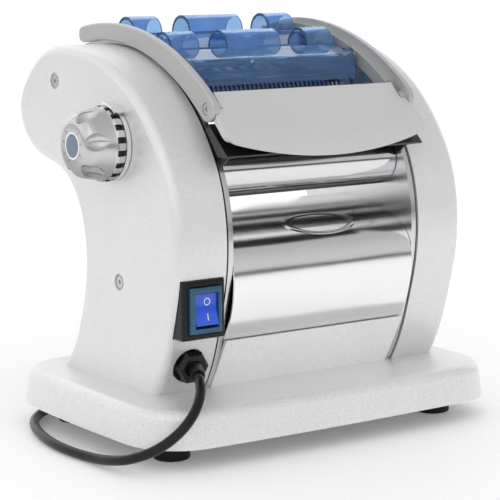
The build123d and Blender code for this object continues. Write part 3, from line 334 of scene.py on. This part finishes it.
# %% Plastics and rubber
def moulded(name, colour, rough, grain=0.0009, depth=0.08, coat=0.0, shine=0.5):
    """A moulded plastic or rubber with a fine grain and slow cloudiness."""
    plastic = Finish(name, Coat_Weight=coat, Coat_Roughness=0.1, Specular_IOR_Level=shine)
    fine = plastic.noise(grain)
    wide = plastic.noise(0.02, detail=2.0)
    plastic.feed("Base Color", plastic.mix(wide, darker(colour, 0.88), colour))
    plastic.feed("Roughness", fine * 0.1 + (rough - 0.05))
    plastic.bump(fine, strength=depth, distance=0.0001)
    return plastic.material


black_plastic = moulded("black_plastic", (0.007, 0.007, 0.008, 1), 0.28, shine=0.3)
black_rubber = moulded("black_rubber", grey(0.006), 0.5, grain=0.0012, depth=0.2, shine=0.25)
cord_sheath = moulded("cord_sheath", (0.006, 0.006, 0.0065, 1), 0.3, grain=0.0015, depth=0.1,
                      shine=0.3)
cream_plastic = moulded("cream_plastic", (0.80, 0.78, 0.72, 1), 0.45)
cap_blue = moulded("cap_blue", (0.10, 0.16, 0.24, 1), 0.25, coat=0.5)
rocker_blue = moulded("rocker_blue", (0.01, 0.085, 0.62, 1), 0.22, coat=0.6)
mark_white = moulded("mark_white", (0.85, 0.86, 0.88, 1), 0.4)
mark_dark = moulded("mark_dark", (0.10, 0.105, 0.11, 1), 0.5)
print("plastics", black_plastic.name, rocker_blue.name, cream_plastic.name)

# %% [markdown]
# The finger guard is clear blue plastic. Light goes through it, so its colour deepens where two
# walls lie one behind the other. A slow ripple in the bump gives the soft streaks of moulding.
# The switch's bezel is the same kind of plastic, thicker and darker, and with no ripple.

# %% Clear plastics
def clear_plastic(name, deep, pale, through, ior, size, detail, rough, smear, ripple=0):
    """A clear plastic whose slow flow goes between a deep and a pale colour."""
    plastic = Finish(name, Transmission_Weight=through, IOR=ior)
    flow = plastic.noise(size, detail=detail)
    plastic.feed("Base Color", plastic.mix(flow, deep, pale))
    plastic.feed("Roughness", flow * smear + rough)
    if ripple:
        plastic.bump(flow, strength=ripple, distance=0.001)
    return plastic.material


guard_blue = clear_plastic("guard_blue", (0.24, 0.45, 0.80, 1), (0.36, 0.58, 0.90, 1),
                           through=0.86, ior=1.46, size=0.018, detail=1.0, rough=0.03,
                           smear=0.04, ripple=0.15)
bezel_blue = clear_plastic("bezel_blue", (0.05, 0.16, 0.30, 1), (0.07, 0.21, 0.37, 1),
                           through=0.55, ior=1.45, size=0.01, detail=3.0, rough=0.12,
                           smear=0.1)
print("clear plastics", guard_blue.name, bezel_blue.name)

# %% [markdown]
# The thickness knob is satin silver with a notched rim. Its notches are painted black as shade,
# a pale line runs round its cap, and its lower side is painted darker as shade. Behind it a ring
# carries the rim's teeth on, with painted black shade between them and a painted shadow line, and
# ends in a boss like the housing. These could be pieces of their own, but they are masks of the
# distance and the turn about the dial's axis, which is read from the frame, so that they stay in
# place if the dial moves.

# %% The dial's measures
cap_low, cap_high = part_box("knob_cap")
cap_r = (cap_high.y - cap_low.y) / 2
dial_axis = (cap_low + cap_high) / 2
knob_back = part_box("dial_knob")[1].x
notches = 18
notch_share = 0.47
# The near black painted into the rim's notches, the gaps between the ring's teeth and the shadow
# line behind them, as shade.
painted_gap_shade = grey(0.012)


def about_dial(coat):
    """Places across, up and out of the knob's back, and the distance from the dial's axis."""
    place = coat.place(move=(-knob_back, -dial_axis.y, -dial_axis.z))
    across, up, out = (coat.axis(letter, place) for letter in "yzx")
    return across, up, out, (across * across + up * up).maths("SQRT")


print("dial axis", tuple(dial_axis), "cap radius", cap_r)

# %% Finish of the knob
def knob_coat(rim_depth=0.0039, notch_floor=0.0255, cap_line=0.0011):
    """Satin silver with painted shade on its lower side, painted black shade between the rim's
    teeth and a pale line round the cap.
    """
    coat = Finish("knob_silver")
    across, up, out, reach = about_dial(coat)
    in_rim = out.maths("GREATER_THAN", -rim_depth)
    # Painted shade: the notch floors in the rim are painted near black, as shade in the gaps.
    black = in_rim * reach.maths("LESS_THAN", notch_floor)
    pale = reach.maths("LESS_THAN", cap_r + cap_line) * (1 - in_rim)
    fine = coat.noise(0.0005, detail=2.0)
    # Painted shade: the silver is painted darker towards the knob's lower and rear side, where
    # less light falls.
    painted_light_share = coat.step(up - across * 0.5, -0.024, 0.012)
    painted_shade_silver = coat.mix(fine, grey(0.26), grey(0.32))
    painted_lit_silver = coat.mix(fine, grey(0.60), grey(0.70))
    silver = coat.mix(pale, coat.mix(painted_light_share, painted_shade_silver, painted_lit_silver), grey(0.86))
    coat.feed("Base Color", coat.mix(black, silver, painted_gap_shade))
    coat.feed("Metallic", (1 - black) * (1 - pale) * 0.85)
    coat.feed("Roughness", fine * 0.1 + 0.2 + black * 0.3)
    coat.bump(fine, strength=0.08, distance=0.0001)
    return coat.material


knob_silver = knob_coat()
print("knob", knob_silver.name)

# %% Finish of the ring behind the knob
def ring_coat(teeth=0.0018, painted_shadow_width=0.0006):
    """Teeth with painted black shade in their gaps, then a painted shadow line, then a silver boss
    like the housing.
    """
    coat = Finish("ring_teeth")
    across, up, out = about_dial(coat)[:3]
    turn = up.maths("ARCTAN2", across) * (notches / (2 * pi)) + notches
    gap = (turn.maths("FRACT") - 0.5).maths("ABSOLUTE").maths("LESS_THAN", notch_share / 2)
    # Painted shadow: a dark line between the teeth and the boss, and painted black shade in the
    # gaps between the teeth.
    before_boss = out.maths("LESS_THAN", teeth + painted_shadow_width)
    boss = 1 - before_boss
    black = gap.maths("MAXIMUM", out.maths("GREATER_THAN", teeth)) * before_boss
    fine = coat.noise(0.0005, detail=2.0)
    tooth_silver = coat.mix(fine, grey(0.50), grey(0.60))
    boss_silver = coat.mix(fine, grey(0.71), grey(0.80))
    coat.feed("Base Color", coat.mix(black, coat.mix(boss, tooth_silver, boss_silver), painted_gap_shade))
    coat.feed("Metallic", (1 - black) * (0.85 - boss * 0.35))
    coat.feed("Roughness", fine * 0.1 + 0.2 + black * 0.3 + boss * 0.17)
    return coat.material


ring_teeth = ring_coat()
print("ring", ring_teeth.name)

# %% [markdown]
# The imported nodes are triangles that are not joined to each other, so they shade in flats. For
# the pieces that show, a copy of the node's mesh is merged and smoothed, with sharp edges kept
# where two faces meet at more than a set angle. The copy then stands for its node. Pressed sheet
# and moulded plastic have a small round on each edge that catches the light, so those few copies
# lose their flat triangles first and get a narrow bevel.

# %% Smoothed copies of the nodes
edge_round = {"switch_surround": 0.0012, "switch_bezel": 0.0008, "switch_rocker": 0.0004,
              "hood_bracket": 0.0002, "front_hood": 0.00025, "cord_gland": 0.0004}
merge_distance = 2e-6
sharp_angle = radians(32)
bevel_angle = radians(40)


def finish_piece(piece, material, slot, body, *replaced):
    """Material, riding body and the nodes that the piece stands for; the record slot is not used.
    """
    piece.data.materials.clear()
    piece.data.materials.append(material)
    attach(piece, body)
    if replaced:
        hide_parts(*replaced)


def rounded(piece, width):
    """A narrow bevel on the piece's real corners."""
    edge = piece.modifiers.new("edge", "BEVEL")
    edge.width = width
    edge.segments = 3
    edge.angle_limit = bevel_angle


def smoothed(node, material):
    """A merged, smooth-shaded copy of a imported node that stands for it."""
    def copy(bm):
        bm.from_mesh(nodes[node].data)
        bmesh.ops.remove_doubles(bm, verts=bm.verts, dist=merge_distance)
        if node in edge_round:
            bmesh.ops.dissolve_limit(bm, angle_limit=radians(1), verts=bm.verts, edges=bm.edges)
        for face in bm.faces:
            face.smooth = True
        for edge in bm.edges:
            edge.smooth = edge.is_manifold and edge.calc_face_angle(0) < sharp_angle

    piece = new_piece(node + "_skin", copy)
    if node in edge_round:
        rounded(piece, edge_round[node])
    weigh = piece.modifiers.new("weigh", "WEIGHTED_NORMAL")
    weigh.keep_sharp = True
    finish_piece(piece, material, slot_of[node], body_of[node], node)
    return piece


print("edges to round", edge_round)

# %% The copies and their finishes
coats = {
    "base_shell": stand_silver, "left_housing": housing_silver, "right_housing": housing_silver,
    "front_apron": apron_silver, "front_hood": hood_silver, "rear_hood": hood_silver,
    "left_rail": rail_silver, "right_rail": rail_silver, "finger_guard": guard_blue,
    "motor_cover": cover_chrome, "front_roller": ground_steel, "rear_roller": ground_steel,
    "left_side_plate": plate_steel, "right_side_plate": plate_steel,
    "hood_bracket": dark_steel, "rear_cover": black_plastic, "dial_knob": knob_silver,
    "knob_cap": cap_blue, "dial_ring": ring_teeth, "dial_pointer": mirror_chrome,
    "switch_surround": black_plastic, "switch_bezel": bezel_blue, "switch_rocker": rocker_blue,
    "cord_gland": black_plastic, "rubber_feet": black_rubber, "plate_gaskets": black_rubber,
    "narrow_cutter_front": shaded_cutter_metal, "narrow_cutter_rear": shaded_cutter_metal,
    "wide_cutter_front": shaded_cutter_metal, "wide_cutter_rear": shaded_cutter_metal,
    "mains_plug": black_plastic}
skins = {node: smoothed(node, coat) for node, coat in coats.items()}
print("smoothed copies", len(skins))

# %% [markdown]
# The other nodes are screws, gears, bushes and shafts, mostly inside. Their shapes are right as
# they are, so they stay and only get a finish, by the record's material slot. The scrapers under
# the rollers are dark steel on the real machine, though their slot is that of the bushes.

# %% Materials of the nodes that stay as they are
inner = {"screw_steel": screw_steel, "plate_dark": dark_steel, "bush_plastic": cream_plastic,
         "gear_plastic": cream_plastic, "gear_steel": screw_steel, "motor_black": black_plastic,
         "gland_black": black_plastic, "cord_black": cord_sheath}
kept = [node for node in nodes if node not in skins]
for node in kept:
    nodes[node].data.materials.clear()
    nodes[node].data.materials.append(inner[slot_of[node]])
nodes["roller_scrapers"].data.materials[0] = dark_steel
print("kept nodes", len(kept))

# %% [markdown]
# Marks and plaques lie on curved faces. They could be modelled in place, but then each would
# need its own curve. Instead each is drawn flat, then every point is dropped on to the packed
# node below it and lifted a little, so that the piece follows the surface.

# %% Pieces laid on a surface
drop_height = 0.03


def laid_on(name, node, draw, middle, out, up, lift, material, thick):
    """draw(bm) fills a flat shape; its points are dropped on the node against out."""
    mesh = nodes[node].data
    surface = BVHTree.FromPolygons([vertex.co for vertex in mesh.vertices],
                                   [face.vertices for face in mesh.polygons])
    out = Vector(out).normalized()
    up = (Vector(up) - out * out.dot(Vector(up))).normalized()
    right = up.cross(out)

    def drop(bm):
        draw(bm)
        for vertex in bm.verts:
            start = Vector(middle) + right * vertex.co.x + up * vertex.co.y + out * drop_height
            found = surface.ray_cast(start, -out)[0]
            vertex.co = (found or start - out * drop_height) + out * (lift + vertex.co.z)
        bmesh.ops.recalc_face_normals(bm, faces=bm.faces)
        for face in bm.faces:
            face.smooth = True

    piece = new_piece(name, drop)
    if thick:
        solid = piece.modifiers.new("thick", "SOLIDIFY")
        solid.thickness = thick
    finish_piece(piece, material, slot_of[node], body_of[node])
    return piece


print("pieces are dropped from", drop_height)

# %% [markdown]
# The switch's rocker carries the two usual marks, printed in white: a ring for off and a bar for
# on. They could be masks in its finish, but as thin flat shapes they keep a crisp edge. Both tilt
# with the rocker, because they ride on its body.

# %% Marks of the switch
def ring_mark(bm, outer=0.0026, inner=0.0020):
    """A flat ring."""
    edges = []
    for radius in (outer, inner):
        loop = bmesh.ops.create_circle(bm, radius=radius, segments=40)
        edges += list({edge for vertex in loop["verts"] for edge in vertex.link_edges})
    bmesh.ops.bridge_loops(bm, edges=edges)


def bar_mark(bm, half_x=0.00035, half_y=0.0024):
    """A flat bar."""
    bmesh.ops.create_grid(bm, x_segments=2, y_segments=8, size=1)
    bmesh.ops.scale(bm, verts=bm.verts, vec=(half_x, half_y, 1))


print_lift = 0.00002
mark_thick = 0.00012
rocker_low, rocker_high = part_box("switch_rocker")
rocker_middle = (rocker_low + rocker_high) / 2
on_place = rocker_middle + Vector((0.001, 0, -0.0063))
off_place = rocker_middle + Vector((0.001, 0, 0.0052))
laid_on("on_mark", "switch_rocker", bar_mark, on_place, (0, -1, 0.2), (0, 0, 1), print_lift,
        mark_white, mark_thick)
laid_on("off_mark", "switch_rocker", ring_mark, off_place, (0, -1, 0), (0, 0, 1), print_lift,
        mark_white, mark_thick)
print("marks of the switch at", tuple(on_place), tuple(off_place))

# %% [markdown]
# The motor cover carries a plain pressed oval, a little proud of the sheet, with a shallow
# groove inside its edge. It could be a flat disc, but a square grid pulled into an oval has
# points enough to follow the cover's bend. Its height is a function of the distance from its
# edge.

# %% The oval on the motor cover
def smooth_step(value):
    """0 below 0, 1 above 1, and a soft curve between."""
    value = max(0.0, min(1.0, value))
    return value * value * (3 - 2 * value)


def oval_plaque(bm, half_x=0.0325, half_y=0.0145, rise=0.0004):
    """A low oval with a rounded edge and a shallow groove inside it."""
    bmesh.ops.create_grid(bm, x_segments=72, y_segments=48, size=1)
    for vertex in bm.verts:
        u, v = vertex.co.x, vertex.co.y
        x, y = u * sqrt(1 - v * v / 2), v * sqrt(1 - u * u / 2)
        edge = 1 - sqrt(x * x + y * y)
        groove = smooth_step(edge / 0.1) - 0.75 * smooth_step((edge - 0.14) / 0.08)
        vertex.co = (x * half_x, y * half_y, rise * groove)


plaque_middle = (0.0160, -0.0735, 0.155)
plaque_lift = -0.00001
plaque = laid_on("cover_plaque", "motor_cover", oval_plaque, plaque_middle, (0, -0.5, 0.87),
                 (0, 0.87, 0.5), plaque_lift, cover_chrome, thick=0)
print("plaque faces", len(plaque.data.polygons))

# %% [markdown]
# The knob's numbers are printed round its cap. They could be a pattern in its finish, but
# letters are easier as shapes. Each is a flat letter curve, turned into a mesh before it is laid
# on the knob's front.

# %% The knob's numbers
def figure(text, size, turn):
    """A drawing of a text, turned about its middle."""
    def draw(bm):
        letters = bpy.data.curves.new("figure", "FONT")
        letters.body = text
        letters.size = size
        letters.align_x = "CENTER"
        letters.align_y = "CENTER"
        letters.resolution_u = 3
        holder = bpy.data.objects.new("figure", letters)
        scene.collection.objects.link(holder)
        bpy.context.view_layer.update()
        mesh = bpy.data.meshes.new_from_object(
            holder.evaluated_get(bpy.context.evaluated_depsgraph_get()))
        bm.from_mesh(mesh)
        bpy.data.objects.remove(holder)
        bmesh.ops.rotate(bm, verts=bm.verts, matrix=Matrix.Rotation(-turn, 3, "Z"))
    return draw


numbers = 9
number_step = radians(360 / numbers)
number_r = 0.0117
number_size = 0.0034
number_thick = 0.00005
for count in range(numbers):
    turn = number_step * count
    place = dial_axis + Vector((0, -sin(turn), cos(turn))) * number_r
    laid_on("number_%d" % (count + 1), "dial_knob", figure(str(count + 1), number_size, turn),
            place, (-1, 0, 0), (0, 0, 1), print_lift, mark_dark, number_thick)
print("numbers on the knob", numbers)

# %% [markdown]
# The mains cord leaves the gland forwards, drops over the corner of the stand, lies in a long
# curve on the floor, and ends in a small put-away coil behind the machine. A tube of straight
# runs would look like bent wire, so it is one smooth spline, and the coil's turns are more
# points of the same spline.

# %% The cord's run on the floor
machine_shift = Vector((0, -15.0038, 0))
route = [
    (-100.2, -70.0, 61.2), (-110.5, -91.5, 59.2), (-119.9, -106.0, 51.2),
    (-131.3, -113.0, 39.6), (-144.3, -112.0, 28.0), (-156.7, -103.6, 18.0),
    (-166.0, -88.0, 10.8), (-169.2, -69.2, 6.6), (-170.0, -50.0, 4.0),
    (-173.0, -27.5, 3.6), (-173.6, -3.6, 3.7), (-169.8, 21.3, 3.6),
    (-163.2, 44.9, 3.7), (-153.8, 66.4, 3.6), (-139.6, 84.0, 3.6),
    (-120.0, 96.8, 3.7), (-96.5, 106.0, 3.6), (-70.6, 112.6, 3.6),
    (-43.0, 116.9, 3.7), (-14.0, 118.6, 3.6)]
points = [(Vector(place) + machine_shift) / 1000 for place in route]
print("route points", len(points))

# %% The cord's coil
cord_r = 0.0035
lying_height = 0.0036
second_layer = 0.0066
climb_turn = 2.75
turn_points = 16
end_points = 6
lap_reach = (0.0455, 0.0385, 0.0315, 0.0315, 0.0385, 0.0455, 0.0455)
laps = len(lap_reach) - 1
coil_low, coil_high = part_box("cord_coil")
coil_middle = (coil_low + coil_high) / 2


def coil_place(turn):
    """A place on the coil; a lap moves over to the next in its last quarter."""
    lap = min(int(turn), laps - 1)
    moved = min(max(0.0, (turn - lap) * 4 - 3), 1) if lap < laps - 1 else 0
    reach = lap_reach[lap] + (lap_reach[lap + 1] - lap_reach[lap]) * moved
    rise = lying_height + second_layer * min(max((turn - climb_turn) * 4, 0), 1)
    angle = radians(-90) + turn * 2 * pi
    return Vector((coil_middle.x + reach * cos(angle), coil_middle.y + reach * sin(angle), rise))


coil_steps = laps * turn_points + end_points
turns = [coil_place(step / turn_points) for step in range(1, coil_steps + 1)]
print("coil points", len(turns), "round", tuple(coil_middle))

# %% The cord's spline
curve = bpy.data.curves.new("mains_cord", "CURVE")
curve.dimensions = "3D"
spline = curve.splines.new("NURBS")
line = points + turns
spline.points.add(len(line) - 1)
for point, place in zip(spline.points, line):
    point.co = (*place, 1)
spline.order_u = 3
spline.use_endpoint_u = True
spline.resolution_u = 6
curve.bevel_depth = cord_r
curve.bevel_resolution = 5
cord = bpy.data.objects.new("mains_cord", curve)
scene.collection.objects.link(cord)
print("cord points", len(line))

# %% [markdown]
# A copy of the spline with no thickness is turned into a line of short edges. The cord then stands
# for the two solids that the frame has for it.


bare = curve.copy()
bare.bevel_depth = 0
measure = bpy.data.objects.new("measure", bare)
scene.collection.objects.link(measure)
bpy.context.view_layer.update()
traced = bpy.data.meshes.new_from_object(
    measure.evaluated_get(bpy.context.evaluated_depsgraph_get()))
bpy.data.objects.remove(measure)

finish_piece(cord, cord_sheath, "cord_black", "frame", "power_cord", "cord_coil")
print("cord leaves at", tuple(points[0]))

# %% [markdown]
# The light is mostly the world's own, with one broad lamp over the front left and one behind, so
# that the shadows stay soft and no pale surface turns white. A few small lamps would give hard
# spots on the chrome instead.

# %% Lamps
lamp_aim = Vector((0, 0, 0.15))


def lamp(name, place, size, power):
    """A soft rectangular lamp that points at the object."""
    data = bpy.data.lights.new(name, "AREA")
    data.shape = "RECTANGLE"
    data.size, data.size_y = size
    data.energy = power
    light = bpy.data.objects.new(name, data)
    scene.collection.objects.link(light)
    light.location = place
    light.rotation_euler = (lamp_aim - Vector(place)).to_track_quat("-Z", "Y").to_euler()
    return light


lamp("key_lamp", (-1.6, -1.0, 1.8), (1.8, 1.8), 3)
lamp("back_lamp", (0.3, 1.6, 1.7), (1.6, 1.0), 2)

# %% [markdown]
# Polished metal shows whatever surrounds it, so the world is not one even white. It is white to
# the camera, dimmer overhead, as a room is above its lamps, and what metal mirrors of it is also
# dimmer to the front right and has a thin dark line at the horizon. That line is what gives the
# chrome cover its drawn edge. The world is made with the same helpers as the materials.

# %% World
class Studio(Finish):
    """The world as a finish: the same nodes, on the world's own tree."""

    def __init__(self, name):
        self.world = bpy.data.worlds.new(name)
        self.world.use_nodes = True
        self.tree = self.world.node_tree
        self.shader = self.tree.nodes["Background"]
        self.shader.inputs["Color"].default_value = grey(1.0)


light_level = 1.6
front_right_loss = 0.42
studio = Studio("studio")
toward = studio.node("TexCoord", output=coordinate_output["direction"])
level = studio.axis("z", toward)
off_horizon = studio.step(level.maths("ABSOLUTE"), 0.03, 0.07)
front_right = studio.step(studio.axis("x", toward), -0.5, 0.6)
ceiling = studio.step(level, 0.1, 0.95, To_Min=1.0, To_Max=0.45)
glossy = studio.ray("glossy")
mirrored = 1.0 - glossy * (1.0 - off_horizon * (1.0 - front_right * front_right_loss))
mirrored = mirrored * (0.5 + ceiling * 0.5)
lighting = ceiling * light_level
looking = glossy.maths("MAXIMUM", studio.ray("transmission"))
around = looking * (mirrored - lighting) + lighting
studio.feed("Strength", studio.ray("camera") * (1 - around) + around)
scene.world = studio.world
print("world", studio.world.name, "nodes", len(studio.tree.nodes))

# %% [markdown]
# The floor is pale and matt and keeps the object's shadow. To rays that look at it, it also
# glows a little, which lifts it to white where no shadow lies. What metal mirrors of it ends
# about a metre in front of the object, like the edge of a table in a darker room.

# %% Finish of the floor
table_end = -1.0
table_start = -0.85
floor_white = Finish("floor_white", Roughness=0.6, Emission_Strength=0.16)
facing = floor_white.axis("y", floor_white.place(turn=(0, 0, view_turn)))
table = floor_white.node("MapRange", Value=facing, From_Min=table_end, From_Max=table_start)
glossy = floor_white.ray("glossy")
past_table = glossy * (1 - table)
looking = floor_white.ray("camera").maths("MAXIMUM", glossy)
looking = looking.maths("MAXIMUM", floor_white.ray("transmission"))
pale = floor_white.mix(floor_white.noise(0.6), grey(0.84), grey(0.86))
floor_white.feed("Emission Color", looking * (1 - past_table))
floor_white.feed("Base Color", floor_white.mix(past_table, pale, grey(0.05)))
floor.data.materials.append(floor_white.material)
scene.view_settings.view_transform = "Standard"
print("floor finish", floor_white.material.name)
